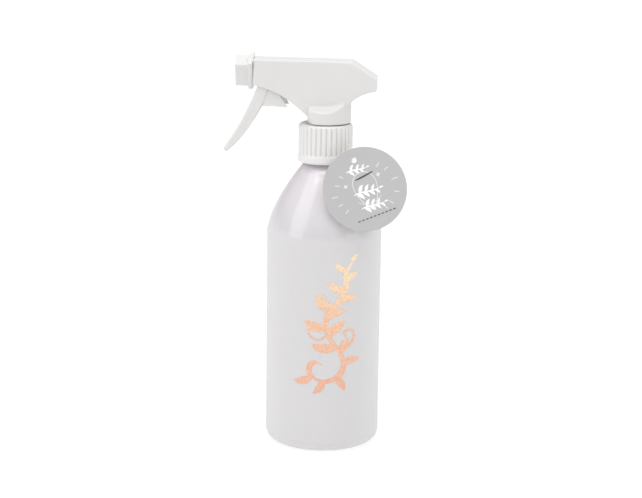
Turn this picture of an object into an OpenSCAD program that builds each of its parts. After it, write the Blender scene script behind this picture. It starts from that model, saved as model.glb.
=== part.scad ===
// Trigger spray bottle: a round 500 ml bottle with a screw-on trigger sprayer
// and a round swing tag. +Z is up, the origin is the centre of the base, and
// the sprayer points along -X.

/* [Bottle] */
// Outside diameter of the bottle
bottle_d = 68; // [64:1:74]
// Wall thickness of the bottle
bottle_wall = 0.9; // [0.8:0.1:1.2]
// Radius of the rounded heel at the foot
heel_r = 6.5; // [5:0.5:8]
// Height where the shoulder starts to curve in
shoulder_z = 127.1; // [115:0.1:128]
// Height of the push-up in the middle of the base
pushup_h = 3.6; // [2:0.2:5]

/* [Neck and closure] */
// Height where the shoulder meets the neck
neck_z = 169; // [168.6:0.1:169.2]
// Height of the neck above the shoulder
neck_h = 18.3; // [18.1:0.1:18.3]
// Pitch of the neck thread
thread_pitch = 4.23; // [4.1:0.01:4.3]
// Number of grip ribs around the closure
rib_count = 32; // [24:2:40]
// Outside diameter of the plain band under the ribs
band_d = 32.8; // [32.6:0.1:33.4]

/* [Sprayer head] */
// Height of the spray axis above the base
spray_z = 222.5; // [222.3:0.1:222.7]
// Outside width of the shroud
shroud_w = 18; // [17.6:0.1:19]
// Shroud wall thickness
shroud_wall = 1.2; // [1:0.1:1.2]
// Turn of the square nozzle about the spray axis, in degrees
nozzle_turn = 18; // [0:1:45]
// Side of the square nozzle block
nozzle_side = 13.9; // [13:0.1:14]

/* [Pump] */
// Bore of the pump cylinder
pump_bore_d = 10.4; // [10.2:0.1:10.6]
// Diameter of the dip tube
dip_tube_d = 6; // [5.6:0.1:6.2]
// Number of working turns of the return spring
spring_turns = 4; // [3:1:4]

/* [Swing tag] */
// Diameter of the tag
tag_d = 49; // [40:1:50]
// Thickness of the card
tag_t = 0.6; // [0.4:0.1:0.8]
// Diameter of the punched hole
tag_hole_d = 3.2; // [3:0.1:4]
// Distance from the tag's centre to its hole
tag_hole_offset = 17.8; // [14:0.1:18]
// Diameter of the nylon loop that holds the tag
loop_d = 0.8; // [0.6:0.1:0.9]

/* [Hidden] */
$fn = 96;
eps = 0.01;
fit_gap = 0.05;  // running clearance on a radius
bottle_r = bottle_d / 2;
base_ring_in = bottle_r - heel_r - 3;

// Neck finish
neck_r = 12.6;
neck_bore_r = 10.8;
neck_top = neck_z + neck_h;
thread_h = 1.1;       // how far the bottle thread stands out
thread_root_w = 1.5;
thread_crest_w = 0.7;
thread_turns = 1.5;
thread_start_z = neck_z + 5.2;
thread_steps = 24;    // segments in one turn of thread

// Closure
closure_z = 170.2;
closure_top = 192.7;
closure_edge_r = 2.4;
closure_recess = 0.6;
closure_band_h = 4.4;
closure_rib_r = 16;
closure_inner_r = 14;
closure_ceiling_z = 190;
closure_hole_r = 11.3;
closure_thread_h = 1;

// Gasket and sprayer base
gasket_h = 1.1;
flange_r = 13.3;
flange_z = neck_top + gasket_h;
flange_h = 1.5;
barrel_r = 10.8;
barrel_cavity_r = 9.3;
barrel_top = 200.5;
riser_r = 5;
socket_r = 3.4;
ball_seat_z = 197;
ball_chamber_r = 2.6;
ball_chamber_top = 202;
riser_bore_r = 1.7;
ball_r = 2;

// Pump cylinder, lying along X
pump_z = 211.75;
pump_bore_r = pump_bore_d / 2;
pump_r = 6.2;
pump_mouth_x = -18.5;
pump_end_x = -3.5;
rod_r = 2.2;
rod_end_x = -31;
cup_x = -17.4;
cup_len = 3.4;
vent_x = -7.2;

// Discharge tube and nozzle seat, lying along X
duct_r = 4;
duct_bore_r = 1.5;
valve_seat_x = -30;
valve_bore_r = 2.6;
boss_r = 5.6;
boss_rear_x = -37.5;
boss_front_x = -48.2;
plug_rear_x = 6.6;

// Trigger pivot
pivot_x = -34;
pivot_z = 225.5;
trunnion_r = 1.6;
ear_out_y = 5.7;
ear_in_y = 3.2;
arm_in_y = 6;
arm_out_y = 7.4;
web_in_y = 6.6;
pusher_r = 2;
pusher_x = rod_end_x - 0.2 - pusher_r;
blade_half_w = 7.6;
web_out_y = 7;

// Shroud
shroud_front_x = -42.2;
shroud_top_z = 230;
column_r = 14.8;
column_z = 193;
column_top_z = 205.6;
roof_z = 203;  // height where the side walls start to flare out over the column
roof_fall = 0.5;  // drop of the flare for each mm outwards
column_front_x = -9.5;

// Nozzle
nozzle_front_x = -52.9;
nozzle_flange_x = -42.5;
nozzle_flange_t = 2.8;
nozzle_flange_side = nozzle_side + 2.4;
nozzle_dish_d = 1.4;  // depth of the round recess in the front
nozzle_bore_r = 5.95;
nozzle_bore_front_x = -49.6;
ring_x = -46.4;

// Swing tag: its plane leans back and turns a little towards +X
tag_hole_at = [17.8, -22.05, 174.5];
tag_azimuth = 8;
tag_lean = 16;
tag_roll = 20.6;  // swing of the tag away from hanging straight
pin_offset = tag_hole_d / 2 - loop_d / 2 - 0.15;
link_r = 4.1;
loop_ring_r = 13.6;
loop_ring_z = 169.1;
tag_x = [cos(tag_azimuth), sin(tag_azimuth), 0];
tag_y = [-sin(tag_lean) * sin(tag_azimuth), sin(tag_lean) * cos(tag_azimuth), cos(tag_lean)];
tag_n = cross(tag_x, tag_y);
tag_up = cos(tag_roll) * tag_y - sin(tag_roll) * tag_x;
link_centre = tag_hole_at + (pin_offset + link_r) * tag_up;

// ---- helpers -------------------------------------------------------------

// Points on a circular arc, from angle a0 to a1
function arc(c, r, a0, a1, n) =
    [for (i = [0:n]) let (a = a0 + (a1 - a0) * i / n) [c[0] + r * cos(a), c[1] + r * sin(a)]];

// Points on a cubic Bezier curve
function bezier(p0, p1, p2, p3, n) =
    [for (i = [0:n]) let (t = i / n, s = 1 - t)
        s * s * s * p0 + 3 * s * s * t * p1 + 3 * s * t * t * p2 + t * t * t * p3];

function unit(v) = v / norm(v);

// An outline moved inwards by t; its points run anticlockwise
function inset(pts, t) = [
    for (i = [0:len(pts) - 1])
        let (
            n = len(pts),
            p = pts[i],
            a = unit(p - pts[(i + n - 1) % n]),
            b = unit(pts[(i + 1) % n] - p),
            side = [-a[1] - b[1], a[0] + b[0]]
        )
        p + side * t / (1 + a * b)
];

// One thread ridge as a swept trapezium; root_r is buried in the wall
module thread_ridge(root_r, crest_r, root_w, crest_w, z0, turns) {
    steps = round(turns * thread_steps);
    pts = [
        for (i = [0:steps])
            let (
                a = 360 * i / thread_steps,
                z = z0 + thread_pitch * a / 360,
                fade = min(1, i / 3, (steps - i) / 3),
                r = root_r + (crest_r - root_r) * max(0.25, fade)
            )
            each [
                [root_r * cos(a), root_r * sin(a), z - root_w / 2],
                [r * cos(a), r * sin(a), z - crest_w / 2],
                [r * cos(a), r * sin(a), z + crest_w / 2],
                [root_r * cos(a), root_r * sin(a), z + root_w / 2]
            ]
    ];
    sides = [
        for (i = [0:steps - 1])
            for (k = [0:3])
                let (p = 4 * i + k, q = 4 * i + (k + 1) % 4)
                each [[p, q, q + 4], [p, q + 4, p + 4]]
    ];
    last = 4 * steps;
    faces = concat(sides, [[3, 2, 1, 0], [last, last + 1, last + 2, last + 3]]);
    // the faces turn the other way round when the crest points inwards
    polyhedron(pts, crest_r > root_r ? faces : [for (f = faces) [for (k = [len(f) - 1:-1:0]) f[k]]]);
}

// Turns a profile drawn as [radius, distance] about the X axis, starting at x0
module along_x(x0, z) {
    translate([x0, 0, z])
        rotate([0, 90, 0])
            rotate_extrude()
                children();
}

module tube_x(x0, x1, r, z) {
    translate([x0, 0, z])
        rotate([0, 90, 0])
            cylinder(r = r, h = x1 - x0);
}

// A flat outline in the XZ plane, as thick as 2 * half_w across Y
module plate_xz(pts, half_w) {
    translate([0, half_w, 0])
        rotate([90, 0, 0])
            linear_extrude(height = 2 * half_w)
                polygon(pts);
}

// A compression spring along X: rings joined end to end along a helix
module coil_x(x0, x1, r, wire_r, turns, z) {
    sides = 8;
    steps = turns * 20;
    pts = [
        for (i = [0:steps])
            let (a = 360 * turns * i / steps, x = x0 + wire_r + (x1 - x0 - 2 * wire_r) * i / steps)
            for (k = [0:sides - 1])
                let (b = 360 * k / sides, rr = r + wire_r * cos(b))
                [x + wire_r * sin(b), rr * cos(a), z + rr * sin(a)]
    ];
    tube = [
        for (i = [0:steps - 1])
            for (k = [0:sides - 1])
                let (p = sides * i + k, q = sides * i + (k + 1) % sides)
                each [[p, q + sides, q], [p, p + sides, q + sides]]
    ];
    start = [for (k = [0:sides - 1]) k];
    end = [for (k = [sides - 1:-1:0]) sides * steps + k];
    polyhedron(pts, concat(tube, [start, end]));
}

// ---- bottle ----------------------------------------------------------------

// Half outline of the outside, moved in by t
function bottle_side(t) = concat(
    arc([bottle_r - heel_r, heel_r], heel_r - t, -90, 0, 8),
    bezier(
        [bottle_r - t, shoulder_z],
        [bottle_r - t, shoulder_z + 10.2],
        [neck_r - t + 17.3 * sin(39.6), neck_z - 17.3 * cos(39.6) - t * 0.6],
        [neck_r - t, neck_z - t * 0.6],
        16
    )
);

module bottle() {
    color("white")
        difference() {
            union() {
                rotate_extrude()
                    polygon(concat([[0, pushup_h], [base_ring_in - 4, pushup_h - 0.6], [base_ring_in, 0]],
                        bottle_side(0), [[neck_r, neck_top], [0, neck_top]]));
                thread_ridge(neck_r - 0.3, neck_r + thread_h, thread_root_w, thread_crest_w,
                    thread_start_z, thread_turns);
            }
            rotate_extrude()
                polygon(concat([[0, pushup_h + bottle_wall], [base_ring_in - 3.6, pushup_h - 0.6 + bottle_wall],
                    [base_ring_in + 0.4, bottle_wall]], bottle_side(bottle_wall),
                    [[neck_bore_r, neck_z + 1], [neck_bore_r, neck_top + 1], [0, neck_top + 1]]));
        }
}

// ---- closure and base of the sprayer ----------------------------------------

module closure_rib_cuts() {
    for (i = [0:rib_count - 1])
        rotate([0, 0, 360 * (i + 0.5) / rib_count])
            translate([closure_rib_r + 0.25, 0, closure_z + closure_band_h])
                cylinder(r = 0.65, h = closure_top, $fn = 24);
}

module closure() {
    rim_r = closure_rib_r - closure_edge_r;
    color("white")
        union() {
            difference() {
                rotate_extrude()
                    polygon(concat(
                        [[closure_hole_r, closure_top - closure_recess], [closure_hole_r, closure_z], [band_d / 2, closure_z],
                            [band_d / 2, closure_z + closure_band_h - 0.4],
                            [closure_rib_r, closure_z + closure_band_h]],
                        arc([rim_r, closure_top - closure_edge_r], closure_edge_r, 0, 90, 6),
                        [[rim_r - closure_recess, closure_top - closure_recess]]
                    ));
                translate([0, 0, closure_z - 1])
                    cylinder(r = closure_inner_r, h = closure_ceiling_z - closure_z + 1);
                closure_rib_cuts();
            }
            thread_ridge(closure_inner_r + 0.3, closure_inner_r - closure_thread_h, thread_root_w,
                thread_crest_w, thread_start_z + thread_pitch / 2, thread_turns);
        }
}

module neck_gasket() {
    color("gainsboro")
        translate([0, 0, neck_top])
            difference() {
                cylinder(r = flange_r - 0.1, h = gasket_h);
                translate([0, 0, -1])
                    cylinder(r = neck_bore_r + 0.1, h = gasket_h + 2);
            }
}

// Socket, ball chamber and riser bore, one above the other
module riser_bores() {
    cylinder(r = socket_r, h = ball_seat_z);
    cylinder(r = ball_chamber_r, h = ball_chamber_top);
    cylinder(r = riser_bore_r, h = spray_z);
}

module trigger_ears() {
    ear = concat([[pivot_x - 3.2, spray_z], [pivot_x + 4.2, spray_z]],
        arc([pivot_x, pivot_z], 3.2, 0, 180, 12));
    difference() {
        plate_xz(ear, ear_out_y);
        plate_xz([[pivot_x - 5, spray_z + 2], [pivot_x + 5, spray_z + 2], [pivot_x + 5, spray_z + 9],
            [pivot_x - 5, spray_z + 9]], ear_in_y);
    }
}

module sprayer_body() {
    color("whitesmoke")
        difference() {
            union() {
                translate([0, 0, flange_z])
                    cylinder(r = flange_r, h = flange_h);
                difference() {
                    translate([0, 0, flange_z])
                        cylinder(r = barrel_r, h = barrel_top - flange_z + 1.2);
                    translate([0, 0, flange_z - 1])
                        cylinder(r = barrel_cavity_r, h = barrel_top - flange_z + 1);
                }
                translate([0, 0, flange_z + 2])
                    cylinder(r = riser_r, h = spray_z - flange_z - 2);
                tube_x(pump_mouth_x, 0, pump_r, pump_z);
                tube_x(boss_rear_x, plug_rear_x, duct_r, spray_z);
                tube_x(boss_front_x, boss_rear_x, boss_r, spray_z);
                // stem that carries the air vent down into the barrel
                translate([vent_x, 0, barrel_top])
                    cylinder(r = 1.6, h = pump_z - pump_bore_r - 0.5 - barrel_top);
                // rib that ties the two tubes together
                translate([pump_mouth_x, -1, pump_z])
                    cube([-pump_mouth_x, 2, spray_z - pump_z]);
                trigger_ears();
            }
            translate([0, 0, flange_z - 1])
                cylinder(r = barrel_cavity_r, h = 3);
            riser_bores();
            // pump cylinder, its port and the vent that lets air back into the bottle
            tube_x(pump_mouth_x - 1, pump_end_x, pump_bore_r, pump_z);
            tube_x(pump_end_x - 1, 0, 1.2, pump_z);
            translate([vent_x, 0, barrel_top - 2])
                cylinder(r = 0.5, h = pump_z - barrel_top, $fn = 24);
            // discharge duct, valve pocket and the core opening behind it
            tube_x(valve_seat_x - 1, plug_rear_x, duct_bore_r, spray_z);
            tube_x(boss_front_x - 1, valve_seat_x, valve_bore_r, spray_z);
            tube_x(2.6, plug_rear_x + 1, 2.4, spray_z);
            // groove for the nozzle seal
            difference() {
                tube_x(ring_x - 0.8, ring_x + 0.8, boss_r + 1, spray_z);
                tube_x(ring_x - 1, ring_x + 1, boss_r - 0.9, spray_z);
            }
            // trigger pivot holes
            translate([pivot_x, 0, pivot_z])
                rotate([90, 0, 0])
                    cylinder(r = trunnion_r + fit_gap, h = 2 * ear_out_y + 2, center = true);
        }
}

module tube_retainer() {
    disc_z = flange_z + 0.3;
    color("gainsboro")
        difference() {
            union() {
                translate([0, 0, disc_z])
                    cylinder(r = barrel_cavity_r - 0.05, h = 1.7);
                translate([0, 0, disc_z])
                    cylinder(r = socket_r - 0.05, h = ball_seat_z - disc_z - 0.05);
                translate([0, 0, 178])
                    cylinder(r = dip_tube_d / 2 + 1.4, h = disc_z - 178 + 1);
            }
            cylinder(r = 1.6, h = ball_seat_z + 1);
            translate([0, 0, 177])
                cylinder(r = dip_tube_d / 2 + 0.02, h = 10);
            // air holes that lead the vent back to the bottle
            for (a = [60, 180, 300])
                rotate([0, 0, a])
                    translate([7, 0, disc_z - 1])
                        cylinder(r = 0.8, h = 4, $fn = 24);
        }
}

module dip_tube() {
    foot_z = pushup_h + 2.6;
    color("ghostwhite")
        translate([0, 0, foot_z])
            difference() {
                cylinder(r = dip_tube_d / 2, h = 186.9 - foot_z);
                translate([0, 0, -1])
                    cylinder(r = dip_tube_d / 2 - 0.8, h = 200);
            }
}

module inlet_ball() {
    rest_h = sqrt(ball_r * ball_r - 1.6 * 1.6);
    color("silver")
        translate([0, 0, ball_seat_z + rest_h + 0.02])
            sphere(r = ball_r);
}

// ---- pump --------------------------------------------------------------------

module piston() {
    color("white")
        difference() {
            union() {
                tube_x(rod_end_x, cup_x, rod_r, pump_z);
                tube_x(rod_end_x, rod_end_x + 1.4, 3.4, pump_z);
                tube_x(cup_x - 1.1, cup_x - 0.05, pump_bore_r - 0.35, pump_z);
                tube_x(cup_x - 0.1, cup_x + cup_len - 0.4, 1.9, pump_z);
            }
            tube_x(rod_end_x + 3, cup_x + cup_len, 1, pump_z);
        }
}

// Two flared lips on a sleeve that snaps over the piston's nose
module piston_cup() {
    color("gainsboro")
        along_x(cup_x, pump_z)
            polygon([[1.95, 0], [3.6, 0], [pump_bore_r - fit_gap, 0.1], [pump_bore_r - fit_gap, 0.7],
                [3.9, 1.2], [3.9, 2.2], [pump_bore_r - fit_gap, 2.8], [pump_bore_r - fit_gap, cup_len],
                [4.5, cup_len], [3.2, 2.6], [1.95, 2.6]]);
}

module return_spring() {
    color("lightsteelblue")
        coil_x(cup_x + 2.75, pump_end_x - 0.05, 2.75, 0.35, spring_turns, pump_z);
}

module bore_plug() {
    color("white")
        union() {
            tube_x(2.7, plug_rear_x, 2.38, spray_z);
            tube_x(plug_rear_x + 0.02, plug_rear_x + 1, 3.2, spray_z);
            tube_x(plug_rear_x - 0.5, plug_rear_x + 0.5, 2.3, spray_z);
        }
}

// ---- outlet ------------------------------------------------------------------

module outlet_valve() {
    color("gainsboro")
        union() {
            tube_x(valve_seat_x - 1.2, valve_seat_x - 0.05, 2.2, spray_z);
            tube_x(valve_seat_x - 3, valve_seat_x - 1.1, 1, spray_z);
            tube_x(valve_seat_x - 0.1, valve_seat_x + 0.8, 1.1, spray_z);
        }
}

module outlet_spring() {
    color("lightsteelblue")
        coil_x(valve_seat_x - 6.9, valve_seat_x - 1.25, 1.6, 0.25, 4, spray_z);
}

// Swirl core: a splined post whose tip meets the nozzle's front wall
module spinner() {
    core_x = valve_seat_x - 7;
    color("white")
        difference() {
            union() {
                tube_x(boss_front_x + 0.4, core_x, valve_bore_r - 0.03, spray_z);
                tube_x(nozzle_bore_front_x + 0.1, boss_front_x + 0.5, 1.9, spray_z);
            }
            // flow channels along the sides and the swirl chamber in the tip
            for (a = [0, 120, 240])
                translate([0, 0, spray_z])
                    rotate([a, 0, 0])
                        translate([boss_front_x + 0.4 - eps, -0.5, 1.7])
                            cube([core_x - boss_front_x, 1, 2]);
            tube_x(nozzle_bore_front_x, nozzle_bore_front_x + 0.5, 1, spray_z);
        }
}

module nozzle_seal() {
    color("dimgray")
        along_x(ring_x, spray_z)
            translate([boss_r - 0.32, 0])
                circle(r = 0.55, $fn = 32);
}

module square_block(x0, x1, side) {
    translate([x0, -side / 2, -side / 2])
        cube([x1 - x0, side, side]);
}

module nozzle() {
    color("white")
        difference() {
            translate([0, 0, spray_z])
                rotate([nozzle_turn, 0, 0])
                    difference() {
                        union() {
                            square_block(nozzle_front_x, nozzle_flange_x - 1, nozzle_side);
                            square_block(nozzle_flange_x - nozzle_flange_t, nozzle_flange_x, nozzle_flange_side);
                        }
                        // shallow panels that mark the sides of the block
                        for (a = [0:90:270])
                            rotate([a, 0, 0])
                                translate([nozzle_front_x + 1.6, -nozzle_side / 2 + 1.8, nozzle_side / 2 - 0.3])
                                    cube([4.6, nozzle_side - 3.6, 1]);
                    }
            tube_x(nozzle_bore_front_x, 0, nozzle_bore_r, spray_z);
            tube_x(nozzle_front_x - 1, 0, 0.35, spray_z);
            tube_x(nozzle_front_x - 1, nozzle_front_x + nozzle_dish_d, 3, spray_z);
        }
}

// ---- shroud ------------------------------------------------------------------

// Side outline, anticlockwise seen from -Y: front foot, concave underside, column, rear arc, top
shroud_outline = concat(
    bezier([shroud_front_x, 215], [-28, 211.8], [-20, 206.5], [column_front_x, 196.4], 8),
    [[column_front_x, 195], [9.5, 200.2]],
    bezier([10.1, 200.7], [14, 205.6], [19.6, 211.6], [29.7, 212.6], 7),
    [[29.6, 220.2], [15.2, 229.4], [shroud_front_x, shroud_top_z]]
);

// A column with a middle part of half width half_w, and sides that slope down from height edge_z
module roofed_column(r, foot_z, half_w, edge_z, top_z) {
    low_z = edge_z - roof_fall * (r - half_w);
    intersection() {
        translate([0, 0, foot_z])
            cylinder(r = r, h = top_z - foot_z);
        rotate([90, 0, 90])
            linear_extrude(height = 2 * r + 2, center = true)
                polygon([[-r, foot_z - 1], [r, foot_z - 1], [r, low_z], [half_w, edge_z], [half_w, top_z + 1],
                    [-half_w, top_z + 1], [-half_w, edge_z], [-r, low_z]]);
    }
}

module shroud() {
    inner_half = shroud_w / 2 - shroud_wall;
    color("white")
        difference() {
            union() {
                plate_xz(shroud_outline, shroud_w / 2);
                intersection() {
                    roofed_column(column_r, column_z, shroud_w / 2, roof_z, column_top_z);
                    translate([column_front_x, -20, column_z - 1])
                        cube([40, 40, 20]);
                }
            }
            // inside of the shell, open below in front of the column
            plate_xz(inset(shroud_outline, shroud_wall), inner_half);
            plate_xz([[shroud_front_x + shroud_wall, 207], [-32, 190], [column_front_x - 1, 190],
                [column_front_x + 2, 198], [-2, 206], [-30, 226],
                [shroud_front_x + shroud_wall, 226]], inner_half);
            intersection() {
                roofed_column(column_r - shroud_wall, column_z - 1, inner_half,
                    roof_z - 0.4, column_top_z - 0.4);
                translate([column_front_x + shroud_wall, -20, column_z - 2])
                    cube([40, 40, 20]);
            }
            translate([column_front_x - 6, -inner_half, column_z - 1])
                cube([12, 2 * inner_half, 12]);
            // the discharge tube comes out through the front
            tube_x(shroud_front_x - 1, shroud_front_x + 3, boss_r + 0.35, spray_z);
        }
}

// ---- trigger -----------------------------------------------------------------

blade_outline = concat(
    bezier([-57.2, 176.2], [-52.5, 179.3], [-38.5, 194.5], [-33.8, 213], 10),
    [[-33.8, 218], [-39.2, 218]],
    bezier([-39.6, 214.4], [-45, 202], [-49.6, 191.5], [-59, 178.6], 10),
    arc([-58, 177.2], 1.6, 150, 240, 3)
);
arm_outline = concat(
    [[-33.4, 212.5], [-31.2, 219.5]],
    arc([pivot_x, pivot_z], 3, 0, 180, 12),
    [[-39.1, 213]]
);
web_outline = [[-37.6, 202.6], [-22.1, 202.2], [-24.8, 206.8], [-28.4, 212.6], [-30.4, 217.4],
    [-35.4, 217.4]];

module trigger() {
    color("white")
        union() {
            difference() {
                plate_xz(blade_outline, blade_half_w);
                // the top of the blade is cut away around the discharge tube and the ears
                translate([-45, -web_in_y, 214.6])
                    cube([20, 2 * web_in_y, 20]);
            }
            difference() {
                plate_xz(arm_outline, arm_out_y);
                translate([-45, -arm_in_y, 214.6])
                    cube([20, 2 * arm_in_y, 20]);
            }
            difference() {
                plate_xz(web_outline, web_out_y);
                translate([-36.4, -web_in_y, 200])
                    cube([20, 2 * web_in_y, 30]);
            }
            for (side = [-1, 1])
                translate([pivot_x, side * (arm_in_y + 0.1), pivot_z])
                    rotate([side * 90, 0, 0])
                        cylinder(r = trunnion_r, h = 2);
            // bar that pushes the piston rod
            translate([pusher_x, 0, pump_z])
                rotate([90, 0, 0])
                    cylinder(r = pusher_r, h = 2 * web_in_y + 0.6, center = true);
        }
}

// ---- swing tag -----------------------------------------------------------------

// The tag's own frame: x across, y up the card, z out of its printed face
module on_tag() {
    translate(tag_hole_at)
        rotate([0, 0, tag_azimuth])
            rotate([90 - tag_lean, 0, 0])
                children();
}

module swing_tag() {
    color("silver")
        on_tag()
            rotate([0, 0, tag_roll])
                difference() {
                    translate([0, -tag_hole_offset, -tag_t / 2])
                        cylinder(r = tag_d / 2, h = tag_t);
                    translate([0, 0, -tag_t])
                        cylinder(r = tag_hole_d / 2, h = 2 * tag_t);
                }
}

module rod(a, b, r) {
    d = b - a;
    translate(a)
        rotate([0, acos(d[2] / norm(d)), atan2(d[1], d[0])])
            cylinder(r = r, h = norm(d), $fn = 24);
}

module tag_loop() {
    r = loop_d / 2;
    stem_r = 0.8 * r;
    elbow = [12.2, -13.6, loop_ring_z];
    on_ring = loop_ring_r * unit([elbow[0], elbow[1], 0]) + [0, 0, loop_ring_z];
    color("ghostwhite")
        union() {
            translate([0, 0, loop_ring_z])
                rotate_extrude()
                    translate([loop_ring_r, 0])
                        circle(r = r, $fn = 24);
            rod(on_ring, elbow, stem_r);
            translate(elbow)
                sphere(r = r, $fn = 24);
            rod(elbow, link_centre - link_r * tag_n, stem_r);
            // ring through the hole and over the edge of the tag
            on_tag()
                rotate([0, 0, tag_roll])
                    translate([0, pin_offset + link_r, 0])
                        rotate([0, 90, 0])
                            rotate_extrude()
                                translate([link_r, 0])
                                    circle(r = r, $fn = 24);
        }
}

bottle();
closure();
neck_gasket();
sprayer_body();
shroud();
trigger();
piston();
piston_cup();
return_spring();
inlet_ball();
tube_retainer();
dip_tube();
bore_plug();
outlet_valve();
outlet_spring();
spinner();
nozzle();
nozzle_seal();
tag_loop();
swing_tag();
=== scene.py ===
"""Trigger spray bottle: the looks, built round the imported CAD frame.

Shapes are worked out in millimetres and turned into metres when a mesh is made.
"""
import math

import bpy
import numpy as np
from mathutils import Matrix, Vector


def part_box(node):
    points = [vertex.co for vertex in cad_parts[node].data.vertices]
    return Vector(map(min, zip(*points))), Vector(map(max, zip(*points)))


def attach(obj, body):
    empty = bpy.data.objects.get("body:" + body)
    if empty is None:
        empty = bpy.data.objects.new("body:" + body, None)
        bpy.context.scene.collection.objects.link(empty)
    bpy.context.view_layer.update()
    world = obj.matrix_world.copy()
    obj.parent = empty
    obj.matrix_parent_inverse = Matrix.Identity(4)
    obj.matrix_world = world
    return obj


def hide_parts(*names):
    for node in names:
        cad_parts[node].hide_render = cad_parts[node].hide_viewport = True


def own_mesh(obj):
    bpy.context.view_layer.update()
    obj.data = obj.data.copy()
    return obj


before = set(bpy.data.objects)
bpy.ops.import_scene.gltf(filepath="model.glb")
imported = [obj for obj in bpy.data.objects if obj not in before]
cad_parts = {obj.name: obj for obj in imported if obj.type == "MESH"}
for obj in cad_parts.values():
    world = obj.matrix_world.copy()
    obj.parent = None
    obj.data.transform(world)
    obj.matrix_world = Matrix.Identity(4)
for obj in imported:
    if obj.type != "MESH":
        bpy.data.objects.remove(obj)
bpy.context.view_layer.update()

MM = 0.001


# ---- sizes, in millimetres, taken from the frame where it has them -------------

def box_mm(node):
    low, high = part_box(node)
    return np.array(low) / MM, np.array(high) / MM


BOTTLE_R = box_mm("bottle")[1][0]
NECK_TOP = box_mm("bottle")[1][2]
NECK_R, NECK_BORE_R, NECK_Z = 12.6, 10.8, 169.0
HEEL_R, SHOULDER_Z, WALL, PUSHUP = 6.5, 127.1, 0.9, 3.6
THREAD_PITCH, THREAD_TURNS, THREAD_Z = 4.23, 1.5, 174.2

CLOSURE_Z, CLOSURE_TOP = box_mm("closure")[0][2], box_mm("closure")[1][2]
BAND_R = box_mm("closure")[1][0]
RIB_R, RIBS, BAND_H, EDGE_R = 16.0, 32, 4.4, 2.4
RIM_R, CLOSURE_BORE_R, THREAD_TOP, RECESS = RIB_R - EDGE_R, 14.0, 187, 0.15

SHROUD_HALF = 9.0
SHROUD_WALL = 1.2
COLUMN_R, COLUMN_Z, COLUMN_X, COLUMN_TOP = 14.8, 193.0, -9.5, 205.6
MOULD_RING_Z = 164.6
ROOF_Z, ROOF_RISE = 203.0, 4.0

SPRAY_Z = 222.5
PIVOT_X, PIVOT_Z, TRUNNION_R, BLADE_HALF = -34.0, 225.5, 1.6, 7.6
PUMP_Z = 211.75

NOZZLE_FRONT = box_mm("nozzle")[0][0]
NOZZLE_REAR = box_mm("nozzle")[1][0]
NOZZLE_TURN, NOZZLE_HALF, SPOUT_R = math.radians(18), 6.95, 5.95

TAG_HOLE = np.array([17.8, -22.05, 174.5])
TAG_AZIMUTH, TAG_LEAN, TAG_ROLL = (math.radians(a) for a in (8, 16, 20.6))
TAG_R, TAG_HOLE_R, TAG_HOLE_OFFSET, TAG_T = 24.5, 1.6, 17.8, 0.6
LOOP_R, LOOP_Z = 13.6, 169.1

FOIL_TURN = math.radians(-90)
FOIL_FOOT, FOIL_TOP = 38, 118
FOIL_MIDDLE, FOIL_GROWTH = (4.6, 78), (1.14, 1.05)


def tag_frame():
    """The tag's own axes: across, up the card, and out of its printed face."""
    turn = (Matrix.Rotation(TAG_AZIMUTH, 3, "Z") @ Matrix.Rotation(math.pi / 2 - TAG_LEAN, 3, "X")
            @ Matrix.Rotation(TAG_ROLL, 3, "Z"))
    return np.array(turn)


# ---- camera ------------------------------------------------------------------------

def make_camera():
    """The photograph's view: slightly above the head, a little to the right of square on."""
    data = bpy.data.cameras.new("camera")
    data.lens = 101.2
    data.clip_start, data.clip_end = 0.05, 20
    camera = bpy.data.objects.new("camera", data)
    bpy.context.scene.collection.objects.link(camera)
    orbit = Matrix.Rotation(math.radians(3.5), 4, "Z")
    aim = (
        Matrix.Rotation(math.radians(0.1), 4, "Z")
        @ Matrix.Rotation(math.radians(90 - 12.85), 4, "X")
        @ Matrix.Rotation(math.radians(0.764), 4, "Z")
    )
    camera.matrix_world = orbit @ Matrix.Translation((0, -1.05, 0.356)) @ aim
    bpy.context.scene.camera = camera


make_camera()


# ---- node helpers ---------------------------------------------------------------------

def new_material(name):
    """A material, its nodes, links and shader, and the object coordinates."""
    mat = bpy.data.materials.new(name)
    mat.use_nodes = True
    nodes, links = mat.node_tree.nodes, mat.node_tree.links
    where = nodes.new("ShaderNodeTexCoord").outputs["Object"]
    return mat, nodes, links, nodes["Principled BSDF"], where


def add(nodes, kind, **settings):
    """A node with its properties and inputs set by name."""
    node = nodes.new(kind)
    for key, value in settings.items():
        if hasattr(node, key):
            setattr(node, key, value)
        else:
            node.inputs[key.replace("_", " ")].default_value = value
    return node


def set_inputs(node, values):
    for name, value in values.items():
        node.inputs[name].default_value = value


def noise(nodes, links, where, scale, detail, rough=0.5):
    node = add(nodes, "ShaderNodeTexNoise", Scale=scale, Detail=detail, Roughness=rough)
    links.new(where, node.inputs["Vector"])
    return node.outputs["Fac"]


def ramp(nodes, links, value, stops):
    """A colour ramp over value; stops are (position, colour) pairs."""
    node = nodes.new("ShaderNodeValToRGB")
    elements = node.color_ramp.elements
    while len(elements) < len(stops):
        elements.new(0.5)
    for element, (position, colour) in zip(elements, stops):
        element.position = position
        element.color = (*colour, 1)
    links.new(value, node.inputs["Fac"])
    return node.outputs["Color"]


def spread(nodes, links, value, low, high, start=0.0, end=1.0):
    """value, between start and end, stretched to lie between low and high."""
    node = nodes.new("ShaderNodeMapRange")
    set_inputs(node, {"From Min": start, "From Max": end, "To Min": low, "To Max": high})
    links.new(value, node.inputs["Value"])
    return node.outputs["Result"]


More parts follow.
